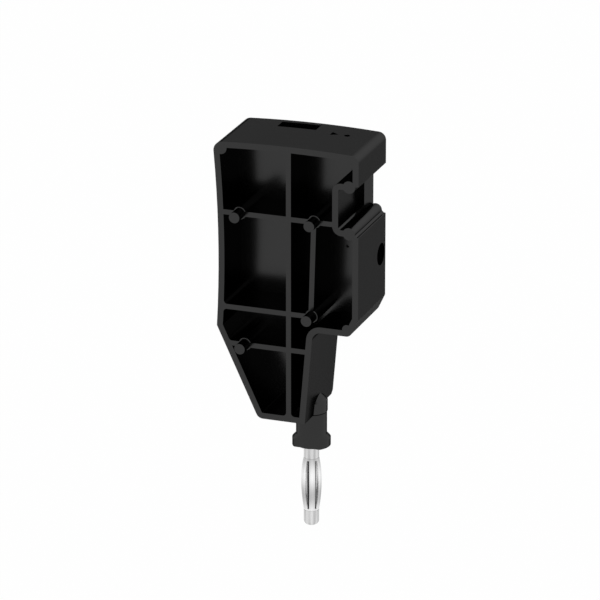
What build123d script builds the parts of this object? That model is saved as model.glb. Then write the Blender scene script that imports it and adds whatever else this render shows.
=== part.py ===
from build123d import *
import math
import os

# A test adapter for a row of terminals: a black moulded housing one pitch thick, open at the front
# and closed at the back, that plugs into a terminal with a sprung contact pin under its foot.
# Housings stack side by side: the pegs of one fill the holes in the back of the next.
# Millimetres. Z is up along the pin, X is to the right of the open front, and -Y is the front.
# The origin is on the pin's axis, at the underside of the sleeve's flange.
# The housing, bush and strip are drawn from the housing's underside and then raised onto the sleeve.

# Housing
body_thickness = 9.9
wall = 0.75
rib_width = 0.63
pocket_depth = 5.8
soft_corner = 0.45

# Outline of the housing, seen from the front, with heights from the housing's underside
crown_height = 34.98
crown_x = -0.8
right_x = 7.67
top_right_drop = 0.26
top_right_r = 0.95
top_left_x = -10.78
top_left_drop = 0.34
top_left_r = 1.15
waist_x = -10.12
waist_drop = 12.38
hip_drop = 0.24
slant_angle = 25.0
foot_left = -5.07
foot_corner_r = 0.9
leg_x = 0.905
leg_lean = 4.85
leg_corner_r = 1.1
box_drop = 1.96
box_corner_r = 0.8
box_chamfer_height = 2.2
heel_y = 2.4
heel_rise = 0.5
heel_bevel = 0.45

# Latch notch in the right side, with a round bead beside each of its two flats
block_height = 4.58
notch_height = 5.07
notch_depth = 2.56
notch_floor_r = 0.4
notch_corner_r = 0.3
bead_r = 0.77
bead_inset = 1.21
upper_bead_rise = 0.39
upper_bead_gap = 0.5
upper_flare = 0.54
lower_bead_drop = 0.39
lower_bead_gap = 0.1
lower_flare = 0.71
shelf_width = 0.22
shelf_edge = 0.06
step_depth = 7.3
step_front = 0.74
step_back = 0.99

# Ribs of the open front
centre_rib_x = -1.165
upper_rib_rise = 0.59
middle_rib_height = 13.91
lower_rib_height = 9.29

# Thickened corners in the open front
corner_bead_r = 0.78
corner_bead_inset = 1.0
corner_bead_drop = 0.72
chamfer_bead_r = 0.62
chamfer_bead_inset = 1.4
chamfer_bead_rise = 0.86

# Mark that an ejector pin leaves on the floor of the box pocket
ejector_r = 0.2
ejector_x = 4.3
ejector_drop = 4.03
ejector_depth = 0.25

# Pegs on the ribs, and the holes behind them that take the next housing's pegs
peg_d = 1.33
peg_length = 1.72
peg_root_r = 0.82
peg_root_edge = 0.06
peg_play = 0.05
peg_hole_spare = 0.4
left_peg_x = -7.43
right_peg_x = 2.04
middle_peg_x = 1.69
lower_peg_x = -6.82

# Slot for a marker tag in the crown, and the plain marks sunk beside it
slot_length = 4.95
slot_width = 1.9
slot_x = -2.78
slot_y = 3.25
slot_depth = 4.0
mark_depth = 0.4
mark_y = 1.75
mark_size = 1.25
arrow_x = 2.15
dot_x = 3.85
dot_r = 0.36

# Socket in the side, for a test plug
socket_bore = 2.3
socket_wall = 0.2
socket_play = 0.025
socket_y = 3.28
socket_drop = 5.46
socket_recess = 1.5
socket_floor = 0.8
rivet_r = 0.6
rivet_head_r = 0.85
rivet_head = 0.3

# Contact strip between the socket and the pin
strip_thickness = 0.4
strip_width = 1.2
strip_play = 0.03
strip_eye_r = 1.15
strip_foot_low = 0.95
strip_foot_high = 1.6

# Sleeve of the plug, and the collar in the housing's foot that it stands under
neck_r = 1.9
neck_length = 3.0
neck_gap = 0.14
neck_gap_depth = 0.3
flange_r = 2.36
flange_cone = 0.5
flange_height = 0.96
flange_flat = 1.69
spigot_r = 1.2
spigot_length = 0.7
collar_r = 1.98
collar_height = 1.36
collar_taper = 1.0

# Contact pin and its spring cage
pin_r = 0.95
pin_play = 0.12
tail_r = 0.6
shank_length = 1.7
cage_length = 6.85
cage_core_r = 0.62
cage_bulge_r = 1.28
cage_bulge_share = 0.42
cage_sheet = 0.14
cage_end = 0.26
cage_strips = 6
cage_strip_width = 0.73
cage_turn = -6.0
cage_play = 0.02
tip_length = 2.02
tip_round = 0.6

# Sizes that follow
half_rib = rib_width / 2
notch_x = right_x - notch_depth
notch_top = crown_height - block_height
notch_floor = notch_top - notch_height
upper_rib_height = notch_floor + upper_rib_rise
socket_height = notch_floor - socket_drop
top_left_height = crown_height - top_left_drop
box_bottom = middle_rib_height - box_drop
hip_height = (middle_rib_height + lower_rib_height) / 2 - hip_drop
upper_bead = (right_x - bead_inset, notch_top + upper_bead_rise)
lower_bead = (right_x - bead_inset, notch_floor - lower_bead_drop)
right_peg = (right_peg_x, upper_rib_height)
middle_peg = (middle_peg_x, middle_rib_height)
pegs = [right_peg, middle_peg, (left_peg_x, upper_rib_height), (lower_peg_x, lower_rib_height)]
foot_z = neck_length + flange_cone + flange_height
front_y = -body_thickness / 2
back_y = body_thickness / 2
cage_top = -shank_length
cage_bottom = cage_top - cage_length
pin_end = cage_bottom - tip_length
standing = (Align.CENTER, Align.CENTER, Align.MIN)


def slab(sketch, start, depth):
    """A front-view sketch made solid, from start behind the rim and depth thick."""
    plane = Plane.XZ.offset(-front_y - start)
    return extrude(plane * sketch, amount=-depth)


def bar(start, end, width):
    """A straight strip of the front view between two points."""
    run = Vector(*end) - Vector(*start)
    middle = (Vector(*start) + Vector(*end)) / 2
    turn = math.degrees(math.atan2(run.Y, run.X))
    return Pos(middle.X, middle.Y) * Rot(0, 0, turn) * Rectangle(run.length, width)


def disc(x, height, radius):
    """A round spot of the front view."""
    return Pos(x, height) * Circle(radius)


def lean_x(height):
    """How far right the leg's outer face is at a height."""
    return leg_x + height * math.tan(math.radians(leg_lean))


def slant_x(height):
    """How far left the slanted edge is at a height."""
    return foot_left - height * math.tan(math.radians(slant_angle))


def near(face, place):
    """The corner of a front-view face that lies nearest a place."""
    return face.vertices().sort_by_distance((*place, 0))[0]


def outline():
    """The housing's outer outline from the front, with a plain notch."""
    foot = (foot_left, 0)
    hip = (slant_x(hip_height), hip_height)
    top_left = (top_left_x, top_left_height)
    top_right = (right_x, crown_height - top_right_drop)
    inner_corner = (lean_x(box_bottom), box_bottom)
    box_corner = (right_x - box_chamfer_height * math.tan(math.radians(slant_angle)), box_bottom)
    path = [
        Line(foot, hip),
        ThreePointArc(hip, (waist_x, crown_height - waist_drop), top_left),
        ThreePointArc(top_left, (crown_x, crown_height), top_right),
        Polyline(
            top_right,
            (right_x, notch_top),
            (notch_x, notch_top),
            (notch_x, notch_floor),
            (right_x, notch_floor),
            (right_x, box_bottom + box_chamfer_height),
            box_corner,
            inner_corner,
            (leg_x, 0),
            foot,
        ),
    ]
    face = make_face(path)
    rounds = [
        (foot, foot_corner_r),
        (top_left, top_left_r),
        (top_right, top_right_r),
        ((notch_x, notch_top), notch_corner_r),
        ((notch_x, notch_floor), notch_floor_r),
        (box_corner, box_corner_r),
        (inner_corner, leg_corner_r),
    ]
    for place, radius in rounds:
        face = fillet(near(face, place), radius)
    return face


def ribs():
    """All ribs of the open front, in the front view."""
    lower_end = (lean_x(lower_rib_height), lower_rib_height)
    return (
        bar((centre_rib_x, 0), (centre_rib_x, crown_height), rib_width)
        + bar((top_left_x, upper_rib_height), (notch_x, upper_rib_height), rib_width)
        + bar((top_left_x, middle_rib_height), middle_peg, rib_width)
        + bar((top_left_x, lower_rib_height), lower_end, rib_width)
        + bar(right_peg, middle_peg, rib_width)
    )


def pockets(outer):
    """The hollows of the open front, between walls, ribs and thick corners, in the front view."""
    hollow = offset(outer, -wall, kind=Kind.ARC) - ribs()
    wall_run = wall / math.cos(math.radians(slant_angle))
    soft = [
        (waist_x + wall, middle_rib_height + half_rib),
        (waist_x + wall, middle_rib_height - half_rib),
        (slant_x(lower_rib_height + half_rib) + wall_run, lower_rib_height + half_rib),
        (centre_rib_x - half_rib, wall),
        (centre_rib_x + half_rib, wall),
    ]
    for place in soft:
        hollow = fillet(near(hollow, place), soft_corner)
    hollow -= disc(top_left_x + corner_bead_inset, top_left_height - corner_bead_drop, corner_bead_r)
    hollow -= disc(right_x - chamfer_bead_inset, box_bottom + chamfer_bead_rise, chamfer_bead_r)
    return hollow - disc(*upper_bead, bead_r) - disc(*lower_bead, bead_r)


def block_cut():
    """What is cut off below the block, outside the upper bead."""
    start = upper_bead[0]
    shelf = notch_top + upper_flare
    return make_face(
        Polyline(
            (start, notch_top),
            (start, shelf),
            (right_x, shelf),
            (right_x, notch_top),
            close=True,
        )
    )


def box_cut():
    """What is cut off above the box, outside the lower bead: a slope, a narrow shelf and its edge."""
    shelf = notch_floor - lower_flare
    return make_face(
        Polyline(
            (right_x - shelf_width - lower_flare, notch_floor),
            (right_x - shelf_width, shelf),
            (right_x - shelf_edge, shelf),
            (right_x, shelf - shelf_edge),
            (right_x, notch_floor),
            close=True,
        )
    )


def notch_step():
    """The back of the notch's wall, which stands further out and leans outward."""
    start = front_y + step_depth
    inside = notch_x - wall / 2
    face = make_face(
        Polyline(
            (inside, start),
            (notch_x + step_front, start),
            (notch_x + step_back, back_y),
            (inside, back_y),
            close=True,
        )
    )
    return extrude(Plane.XY.offset(notch_floor) * face, amount=notch_top - notch_floor)


def heel():
    """What is cut off below the foot behind the plug: a shallow step, bevelled at the back."""
    face = make_face(
        Polyline(
            (heel_y, 0),
            (heel_y, heel_rise),
            (back_y - heel_bevel, heel_rise),
            (back_y, heel_rise + heel_bevel),
            (back_y, 0),
            close=True,
        )
    )
    return extrude(Plane.YZ * face, amount=body_thickness, both=True)


def foot_collar():
    """The round collar in the foot, which tapers up into the leg."""
    taper = Cone(collar_r, collar_r - collar_taper, collar_taper, align=standing)
    return Cylinder(collar_r, collar_height, align=standing) + Pos(0, 0, collar_height) * taper


def peg(x, height):
    """One peg, on a thicker root that stands on the pocket's floor and has a broken edge at the rim."""
    root = slab(disc(x, height, peg_root_r), 0, pocket_depth)
    root = chamfer(root.edges().filter_by(GeomType.CIRCLE).group_by(Axis.Y)[0], peg_root_edge)
    return root + slab(disc(x, height, peg_d / 2), -peg_length, peg_length + wall)


def peg_hole(x, height):
    """The blind hole in the back that takes the next housing's peg."""
    depth = peg_length + peg_hole_spare
    return slab(disc(x, height, peg_d / 2 + peg_play), body_thickness - depth, depth)


def marker_slot():
    """The slot for a marker tag, cut down into the crown."""
    return Pos(slot_x, slot_y, crown_height) * Box(slot_length, slot_width, 2 * slot_depth)


def crown_marks():
    """An arrow head and a dot sunk into the crown, to tell the two ends apart."""
    arrow = Pos(arrow_x, mark_y) * RegularPolygon(mark_size / 2, 3)
    dot = Pos(dot_x, mark_y) * Circle(dot_r)
    return extrude(Plane.XY.offset(crown_height - mark_depth) * (arrow + dot), amount=2 * mark_depth)


def strip_blank(play):
    """The contact strip without its hole: a foot, an upright and a round eye, with play all round."""
    back = socket_y + strip_width / 2
    inner = socket_y - strip_width / 2
    face = make_face(
        Polyline(
            (tail_r, strip_foot_low - play),
            (back + play, strip_foot_low - play),
            (back + play, socket_height),
            (inner - play, socket_height),
            (inner - play, strip_foot_high + play),
            (tail_r, strip_foot_high + play),
            close=True,
        )
    )
    face += Pos(socket_y, socket_height) * Circle(strip_eye_r + play)
    return extrude(Plane.YZ * face, amount=strip_thickness / 2 + play, both=True)


def along_socket(radius, start, end):
    """A rod on the socket's axis, between two depths from the box wall."""
    mouth = Plane(origin=(right_x, socket_y, socket_height), x_dir=(0, 1, 0), z_dir=(-1, 0, 0))
    return extrude(mouth.offset(start) * Circle(radius), amount=end - start)


def socket_pocket():
    """The bore in the housing for the contact bush, its rivet head and the strip."""
    bush_end = right_x - strip_thickness / 2
    head_end = right_x + strip_thickness / 2 + rivet_head
    bore = along_socket(socket_bore / 2 + socket_wall + socket_play, 0, bush_end)
    bore += along_socket(rivet_head_r + socket_play, bush_end, head_end + socket_play)
    return bore + strip_blank(strip_play)


def foot_bore():
    """The bore in the foot for the sleeve's spigot and the pin's tail."""
    tail = Cylinder(tail_r, strip_foot_high, align=standing)
    return Cylinder(spigot_r, spigot_length, align=standing) + tail


def make_housing():
    """The one moulding: walls, ribs, pegs, latch edges, collar, and its bores and slots."""
    outer = outline()
    body = slab(outer, 0, body_thickness)
    body -= slab(pockets(outer), 0, pocket_depth)
    body -= slab(block_cut(), 0, body_thickness)
    body -= slab(box_cut(), 0, body_thickness)
    body += slab(disc(*upper_bead, bead_r), 0, body_thickness - upper_bead_gap)
    body += slab(disc(*lower_bead, bead_r), 0, body_thickness - lower_bead_gap)
    body += notch_step() + foot_collar()
    body -= slab(disc(ejector_x, notch_floor - ejector_drop, ejector_r), pocket_depth, ejector_depth)
    for x, height in pegs:
        body += peg(x, height)
        body -= peg_hole(x, height)
    return body - heel() - marker_slot() - crown_marks() - socket_pocket() - foot_bore()


def make_sleeve():
    """The insulating neck, with a spigot for the foot and a flange that is flat front and back."""
    neck = Cylinder(neck_r, foot_z - neck_gap, align=standing)
    neck += Cylinder(neck_r - neck_gap_depth, foot_z, align=standing)
    neck += Cylinder(spigot_r, foot_z + spigot_length, align=standing)
    cone = Cone(flange_r, neck_r, flange_cone, align=standing)
    flange = Cylinder(flange_r, flange_height, align=standing) + Pos(0, 0, flange_height) * cone
    flange &= Box(2 * flange_r, 2 * flange_flat, foot_z, align=standing)
    bore = Cylinder(pin_r + pin_play, flange_height + flange_cone, align=standing)
    bore += Cylinder(tail_r, foot_z + spigot_length, align=standing)
    return neck + flange - bore


def make_pin():
    """The turned pin: tail, shank, the thin core under the cage, and the round-ended tip."""
    shoulder = flange_height + flange_cone
    profile = make_face(
        Polyline(
            (0, pin_end),
            (pin_r, pin_end),
            (pin_r, cage_bottom),
            (cage_core_r, cage_bottom),
            (cage_core_r, cage_top),
            (pin_r, cage_top),
            (pin_r, shoulder),
            (tail_r, shoulder),
            (tail_r, foot_z + strip_foot_high),
            (0, foot_z + strip_foot_high),
            close=True,
        )
    )
    pin = revolve(Plane.XZ * profile, Axis.Z)
    return fillet(pin.edges().filter_by(GeomType.CIRCLE).group_by(Axis.Z)[0], tip_round)


def bow(end_r, bulge_r, top, bottom):
    """The bowed line of the cage from its bottom over its bulge to its top, in two arcs."""
    bulge = (bulge_r, top - cage_length * cage_bulge_share)
    lower = TangentArc(bulge, (end_r, bottom), tangent=(0, -1))
    upper = TangentArc(bulge, (end_r, top), tangent=(0, 1))
    return [lower, upper]


def make_cage():
    """The spring cage: a rolled tube slit into bowed strips between two end rings."""
    top = cage_top - cage_play
    bottom = cage_bottom + cage_play
    ring_r = pin_r - cage_sheet
    edges = bow(pin_r, cage_bulge_r, top, bottom)
    edges += bow(ring_r, cage_bulge_r - cage_sheet, top, bottom)
    edges += [Line((ring_r, top), (pin_r, top)), Line((ring_r, bottom), (pin_r, bottom))]
    cage = revolve(Plane.XZ * make_face(edges), Axis.Z)
    ends = Cylinder(cage_bulge_r, cage_length) - Cylinder(cage_bulge_r, cage_length - 2 * cage_end)
    pair = Box(2 * cage_bulge_r, cage_strip_width, cage_length)
    turns = [cage_turn + turn * 360 / cage_strips for turn in range(cage_strips // 2)]
    strips = [Rot(0, 0, turn) * pair for turn in turns]
    return cage & Pos(0, 0, (top + bottom) / 2) * (ends + strips)


def make_socket():
    """The contact bush: a blind tube with a rivet at its back."""
    bush_end = right_x - strip_thickness / 2
    rivet_start = right_x + strip_thickness / 2
    bush = along_socket(socket_bore / 2 + socket_wall, socket_recess, bush_end)
    bush -= along_socket(socket_bore / 2, socket_recess, bush_end - socket_floor)
    bush += along_socket(rivet_r, bush_end, rivet_start)
    return bush + along_socket(rivet_head_r, rivet_start, rivet_start + rivet_head)


def make_strip():
    """The flat contact strip that joins the socket's rivet to the pin's tail."""
    return strip_blank(0) - along_socket(rivet_r, 0, 2 * right_x)


def main():
    os.makedirs("parts", exist_ok=True)
    raised = Pos(0, 0, foot_z)
    pieces = {
        "housing": raised * make_housing(),
        "plug_sleeve": make_sleeve(),
        "contact_pin": make_pin(),
        "spring_cage": make_cage(),
        "socket_bush": raised * make_socket(),
        "contact_strip": raised * make_strip(),
    }
    for name, piece in pieces.items():
        export_step(piece, f"parts/{name}.step")


main()
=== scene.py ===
import bpy
import math
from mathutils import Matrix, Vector


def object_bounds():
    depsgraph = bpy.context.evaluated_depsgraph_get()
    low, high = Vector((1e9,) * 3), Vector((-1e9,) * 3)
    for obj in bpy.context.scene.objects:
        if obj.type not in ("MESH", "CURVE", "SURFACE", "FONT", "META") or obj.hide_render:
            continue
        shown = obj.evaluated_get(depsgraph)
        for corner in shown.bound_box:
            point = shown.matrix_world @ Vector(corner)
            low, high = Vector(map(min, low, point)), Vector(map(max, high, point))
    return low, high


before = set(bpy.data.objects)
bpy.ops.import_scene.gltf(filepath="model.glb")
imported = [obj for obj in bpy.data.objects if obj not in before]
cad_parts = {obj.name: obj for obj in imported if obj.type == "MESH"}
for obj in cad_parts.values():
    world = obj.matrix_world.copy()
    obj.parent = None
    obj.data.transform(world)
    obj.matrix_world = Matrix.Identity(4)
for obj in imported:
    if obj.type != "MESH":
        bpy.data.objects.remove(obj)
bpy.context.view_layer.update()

# Sizes in metres, in the part's own frame, with the pin on its Z axis
MM = 0.001

# Camera: its aim on the part, its angles in degrees and its lens in millimetres
aim = Vector((0.305, -4.95, 20.35)) * MM
camera_azimuth = 20.0
camera_elevation = 20.0
camera_distance = 592.3 * MM
nearest_seen = 10.0 * MM
farthest_seen = 50.0
lens = 297.0
sensor = 36.0

# Plain light of the room, and the floor below the pin: how grey it is, and how white where seen
room_light = 0.6
floor_size = 6.0
floor_drop = 9.0 * MM
floor_grey = 0.9
floor_white_share = 0.985

# Soft square lamps: place and width in metres, and power in watts
key_place = (0.5, -0.7, 0.9)
key_size = 0.7
key_power = 0.35
fill_place = (-0.8, -0.4, 0.7)
fill_size = 0.8
fill_power = 0.3
lamp_aim = Vector((0, 0, 20)) * MM

# Noise: the middle of its range, and how much detail the fine and the cloudy kind have
noise_low = 0.3
noise_high = 0.7
fine_detail = 2.0
cloud_detail = 3.0

# Gloss of the black plastic, and how much of its edge gloss is left by the slant of the face:
# 0 is a face seen square on, 1 one seen edge on
housing_level = 0.040
sleeve_level = 0.036
plastic_spread = 0.03
plastic_rough = (0.185, 0.215)
plastic_grain = 9000.0
plastic_grain_height = 0.08e-6
square_gloss = 0.75
edge_gloss = [(0.5, 0.66), (0.66, 0.429), (0.71, 0.402), (0.88, 0.0)]

# Plating and brass: darkest and lightest level, roughness and grain; on the plating the span between
# the levels carries painted reflection streaks and a random smear
pin_levels = (0.42, 0.84)
cage_levels = (0.4, 1.0)
bush_levels = (0.5, 0.8)
# Painted shade: the grey of the pin under the cage
core_shade_level = 0.32
nickel_edge = 0.9
nickel_rough = (0.18, 0.26)
nickel_grain_height = 0.2e-6
brass_dark = (0.55, 0.42, 0.2)
brass_light = (0.66, 0.52, 0.27)
brass_rough = (0.25, 0.35)
brass_grain_height = 0.5e-6
metal_grain = 2500.0
cloud_grain = 90.0

# Painted reflections on the plating: light and dark streaks along the pin by its angle, and light bands
# round the cage by its height
reflection_streak_count = 9
reflection_streak_turn = 86.0
reflection_streak_share = 0.52
smear_grain = 2200.0
smear_stretch = (1, 1, 0.08)
reflection_band_height = 5.2 * MM
reflection_band_place = -3.9 * MM
cage_reflection_band_share = 0.66

# Stretch of the pin under the spring cage, painted darker as shade
core_low = -8.5 * MM
core_high = -1.72 * MM


def mesh_object(name, corners, faces):
    """A mesh object from its corners and faces."""
    mesh = bpy.data.meshes.new(name)
    mesh.from_pydata(corners, [], faces)
    mesh.update()
    obj = bpy.data.objects.new(name, mesh)
    bpy.context.scene.collection.objects.link(obj)
    return obj


def new_material(name):
    """An empty node material and its nodes and links."""
    material = bpy.data.materials.new(name)
    material.use_nodes = True
    nodes = material.node_tree.nodes
    nodes.clear()
    return material, nodes, material.node_tree.links


def add_noise(nodes, links, scale, detail, stretch=(1, 1, 1)):
    """Noise over the object's own space, with its pattern stretched per axis."""
    coords = nodes.new("ShaderNodeTexCoord")
    mapping = nodes.new("ShaderNodeMapping")
    mapping.inputs["Scale"].default_value = stretch
    noise = nodes.new("ShaderNodeTexNoise")
    noise.inputs["Scale"].default_value = scale
    noise.inputs["Detail"].default_value = detail
    links.new(coords.outputs["Object"], mapping.inputs["Vector"])
    links.new(mapping.outputs["Vector"], noise.inputs["Vector"])
    return noise


def spread(nodes, links, value, low, high):
    """The middle of a noise value's range, stretched to a range of its own."""
    ramp = nodes.new("ShaderNodeMapRange")
    ramp.inputs["From Min"].default_value = noise_low
    ramp.inputs["From Max"].default_value = noise_high
    ramp.inputs["To Min"].default_value = low
    ramp.inputs["To Max"].default_value = high
    links.new(value, ramp.inputs["Value"])
    return ramp.outputs["Result"]


def colour_mix(nodes, links, fac, dark, light):
    """A colour between two, by a factor."""
    mix = nodes.new("ShaderNodeMix")
    mix.data_type = "RGBA"
    mix.inputs["A"].default_value = (*dark, 1)
    mix.inputs["B"].default_value = (*light, 1)
    links.new(fac, mix.inputs["Factor"])
    return mix.outputs["Result"]


def grey(level):
    """A grey of a level."""
    return (level, level, level)


def surface(name, rough, grain, grain_height):
    """A glossy surface with fine grain in its roughness and its height, still without a colour."""
    material, nodes, links = new_material(name)
    out = nodes.new("ShaderNodeOutputMaterial")
    shader = nodes.new("ShaderNodeBsdfPrincipled")
    links.new(shader.outputs["BSDF"], out.inputs["Surface"])
    shader.inputs["Metallic"].default_value = 1.0
    fine = add_noise(nodes, links, grain, fine_detail)
    links.new(spread(nodes, links, fine.outputs["Fac"], *rough), shader.inputs["Roughness"])
    bump = nodes.new("ShaderNodeBump")
    bump.inputs["Strength"].default_value = 1.0
    bump.inputs["Distance"].default_value = grain_height
    links.new(fine.outputs["Fac"], bump.inputs["Height"])
    links.new(bump.outputs["Normal"], shader.inputs["Normal"])
    return material, nodes, links, shader


def black_plastic(name, level):
    """Black satin plastic: only gloss to speak of, and low on slanting faces too."""
    material, nodes, links, shader = surface(name, plastic_rough, plastic_grain, plastic_grain_height)
    cloud = add_noise(nodes, links, cloud_grain, cloud_detail)
    dark = grey(level * (1 - plastic_spread))
    light = grey(level * (1 + plastic_spread))
    links.new(colour_mix(nodes, links, cloud.outputs["Fac"], dark, light), shader.inputs["Base Color"])
    slant = nodes.new("ShaderNodeLayerWeight")
    slant.inputs["Blend"].default_value = 0.5
    curve = nodes.new("ShaderNodeValToRGB")
    stops = curve.color_ramp.elements
    stops[0].position = 0.0
    stops[0].color = (*grey(square_gloss), 1)
    stops[1].position = 1.0
    stops[1].color = (*grey(0.0), 1)
    for place, gloss in edge_gloss:
        stops.new(place).color = (*grey(gloss), 1)
    links.new(slant.outputs["Facing"], curve.inputs["Fac"])
    links.new(curve.outputs["Color"], shader.inputs["Specular Tint"])
    return material


def do_math(nodes, links, operation, first, second):
    """One sum on two values, each the output of a node or a number."""
    node = nodes.new("ShaderNodeMath")
    node.operation = operation
    for socket, value in zip(node.inputs, (first, second)):
        if isinstance(value, (int, float)):
            socket.default_value = value
        else:
            links.new(value, socket)
    return node.outputs["Value"]


def wave(nodes, links, value, pace, start):
    """A smooth wave from 0 to 1 that starts at 0, and repeats sooner the larger its pace is."""
    angle = do_math(nodes, links, "MULTIPLY", do_math(nodes, links, "SUBTRACT", value, start), pace)
    dip = do_math(nodes, links, "MULTIPLY", do_math(nodes, links, "COSINE", angle, 0.0), -0.5)
    return do_math(nodes, links, "ADD", dip, 0.5)


def place_parts(nodes, links):
    """The node that gives the three coordinates of a place on the part."""
    coords = nodes.new("ShaderNodeTexCoord")
    split = nodes.new("ShaderNodeSeparateXYZ")
    links.new(coords.outputs["Object"], split.inputs["Vector"])
    return split


def nickel(name, levels, reflection_band_share):
    """Bright nickel plating with painted reflection streaks along the pin, painted reflection bands
    round it, and a random lengthwise smear.
    """
    material, nodes, links, shader = surface(name, nickel_rough, metal_grain, nickel_grain_height)
    shader.inputs["Specular Tint"].default_value = (*grey(nickel_edge), 1)
    place = place_parts(nodes, links)
    angle = do_math(nodes, links, "ARCTAN2", place.outputs["Y"], place.outputs["X"])
    # Painted reflections: light and dark streaks along the pin by its angle round the axis, and light
    # bands round it by its height
    reflection_streaks = wave(nodes, links, angle, reflection_streak_count, math.radians(-reflection_streak_turn))
    reflection_bands = wave(nodes, links, place.outputs["Z"], math.tau / reflection_band_height, reflection_band_place + reflection_band_height / 2)
    smear = add_noise(nodes, links, smear_grain, fine_detail, smear_stretch)
    smear = spread(nodes, links, smear.outputs["Fac"], 0.0, 1.0)
    reflection_streaks = do_math(nodes, links, "MULTIPLY", reflection_streaks, (1 - reflection_band_share) * reflection_streak_share)
    reflection_bands = do_math(nodes, links, "MULTIPLY", reflection_bands, reflection_band_share)
    smear = do_math(nodes, links, "MULTIPLY", smear, (1 - reflection_band_share) * (1 - reflection_streak_share))
    share = do_math(nodes, links, "ADD", do_math(nodes, links, "ADD", reflection_streaks, reflection_bands), smear)
    low, high = levels
    links.new(colour_mix(nodes, links, share, grey(low), grey(high)), shader.inputs["Base Color"])
    return material


def brass(name):
    """Plain rolled brass."""
    material, nodes, links, shader = surface(name, brass_rough, metal_grain, brass_grain_height)
    cloud = add_noise(nodes, links, cloud_grain, cloud_detail)
    colour = colour_mix(nodes, links, cloud.outputs["Fac"], brass_dark, brass_light)
    links.new(colour, shader.inputs["Base Color"])
    return material


def paint_core_shade(material):
    """Paints shade on the stretch of a plated pin under the cage, as a darker grey base colour."""
    nodes = material.node_tree.nodes
    links = material.node_tree.links
    shader = nodes["Principled BSDF"]
    bright = shader.inputs["Base Color"].links[0].from_socket
    inside = nodes.new("ShaderNodeMath")
    inside.operation = "COMPARE"
    inside.inputs[1].default_value = (core_low + core_high) / 2
    inside.inputs[2].default_value = (core_high - core_low) / 2
    links.new(place_parts(nodes, links).outputs["Z"], inside.inputs[0])
    mix = nodes.new("ShaderNodeMix")
    mix.data_type = "RGBA"
    mix.inputs["B"].default_value = (*grey(core_shade_level), 1)
    links.new(inside.outputs["Value"], mix.inputs["Factor"])
    links.new(bright, mix.inputs["A"])
    links.new(mix.outputs["Result"], shader.inputs["Base Color"])


def dress(node, material):
    """Gives a carried-over solid its material."""
    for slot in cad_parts[node].material_slots:
        slot.material = material


def make_materials():
    """One material for each piece of the part."""
    dress("housing", black_plastic("housing_plastic", housing_level))
    dress("plug_sleeve", black_plastic("sleeve_plastic", sleeve_level))
    pin = nickel("plated_pin", pin_levels, 0.0)
    # Painted shade on the pin under the cage
    paint_core_shade(pin)
    dress("contact_pin", pin)
    # The spring cage also gets the painted reflection bands round it
    dress("spring_cage", nickel("plated_spring", cage_levels, cage_reflection_band_share))
    dress("socket_bush", nickel("plated_bush", bush_levels, 0.0))
    dress("contact_strip", brass("contact_brass"))


def make_camera():
    """The camera, above the open front and to its right."""
    azimuth = math.radians(camera_azimuth)
    elevation = math.radians(camera_elevation)
    side = math.sin(azimuth) * math.cos(elevation)
    front = -math.cos(azimuth) * math.cos(elevation)
    out = Vector((side, front, math.sin(elevation)))
    data = bpy.data.cameras.new("camera")
    data.lens = lens
    data.sensor_width = sensor
    data.clip_start = nearest_seen
    data.clip_end = farthest_seen
    camera = bpy.data.objects.new("camera", data)
    camera.location = aim + out * camera_distance
    camera.rotation_euler = (-out).to_track_quat("-Z", "Y").to_euler()
    bpy.context.scene.collection.objects.link(camera)
    bpy.context.scene.camera = camera


def make_world():
    """White behind the object and in its gloss, and a plain grey light on it."""
    world = bpy.data.worlds.new("world")
    bpy.context.scene.world = world
    world.use_nodes = True
    nodes = world.node_tree.nodes
    links = world.node_tree.links
    nodes.clear()
    out = nodes.new("ShaderNodeOutputWorld")
    plain = nodes.new("ShaderNodeBackground")
    white = nodes.new("ShaderNodeBackground")
    plain.inputs["Color"].default_value = (1, 1, 1, 1)
    plain.inputs["Strength"].default_value = room_light
    white.inputs["Color"].default_value = (1, 1, 1, 1)
    white.inputs["Strength"].default_value = 1.0
    mix = nodes.new("ShaderNodeMixShader")
    links.new(seen_ray(nodes, links), mix.inputs["Fac"])
    links.new(plain.outputs["Background"], mix.inputs[1])
    links.new(white.outputs["Background"], mix.inputs[2])
    links.new(mix.outputs["Shader"], out.inputs["Surface"])


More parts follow.
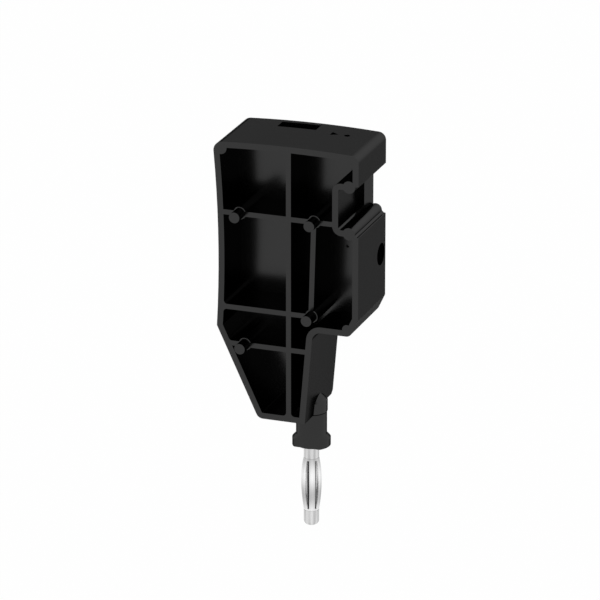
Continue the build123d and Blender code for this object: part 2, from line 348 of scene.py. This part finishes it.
def seen_ray(nodes, links):
    """1 on a ray from the camera, or one mirrored or let through by the object, and 0 on the rest."""
    path = nodes.new("ShaderNodeLightPath")
    total = path.outputs["Is Camera Ray"]
    for kind in ("Is Glossy Ray", "Is Transmission Ray"):
        more = nodes.new("ShaderNodeMath")
        more.operation = "MAXIMUM"
        links.new(total, more.inputs[0])
        links.new(path.outputs[kind], more.inputs[1])
        total = more.outputs["Value"]
    return total


def make_floor():
    """A plain pale floor below the pin, white where it is seen, with a soft shadow."""
    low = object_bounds()[0][2] - floor_drop
    half = floor_size / 2
    corners = [(-half, -half, low), (half, -half, low), (half, half, low), (-half, half, low)]
    floor = mesh_object("floor", corners, [(0, 1, 2, 3)])
    material, nodes, links = new_material("floor_paint")
    out = nodes.new("ShaderNodeOutputMaterial")
    matt = nodes.new("ShaderNodeBsdfDiffuse")
    matt.inputs["Color"].default_value = (*grey(floor_grey), 1)
    white = nodes.new("ShaderNodeEmission")
    white.inputs["Color"].default_value = (1, 1, 1, 1)
    white.inputs["Strength"].default_value = 1.0
    share = nodes.new("ShaderNodeMath")
    share.operation = "MULTIPLY"
    share.inputs[1].default_value = floor_white_share
    mix = nodes.new("ShaderNodeMixShader")
    links.new(seen_ray(nodes, links), share.inputs[0])
    links.new(share.outputs["Value"], mix.inputs["Fac"])
    links.new(matt.outputs["BSDF"], mix.inputs[1])
    links.new(white.outputs["Emission"], mix.inputs[2])
    links.new(mix.outputs["Shader"], out.inputs["Surface"])
    floor.data.materials.append(material)


def area_lamp(name, place, size, power):
    """A square soft lamp turned to the part."""
    data = bpy.data.lights.new(name, "AREA")
    data.shape = "SQUARE"
    data.size = size
    data.energy = power
    lamp = bpy.data.objects.new(name, data)
    lamp.location = place
    lamp.rotation_euler = (lamp_aim - Vector(place)).to_track_quat("-Z", "Y").to_euler()
    bpy.context.scene.collection.objects.link(lamp)


def make_lamps():
    """Two plain soft lamps."""
    area_lamp("key_lamp", key_place, key_size, key_power)
    area_lamp("fill_lamp", fill_place, fill_size, fill_power)


make_camera()
make_world()
make_floor()
make_lamps()
make_materials()

bpy.context.scene.view_settings.view_transform = "Standard"


def plain(box):
    """A box's corners as lists of numbers."""
    return [[float(value) for value in corner] for corner in box]
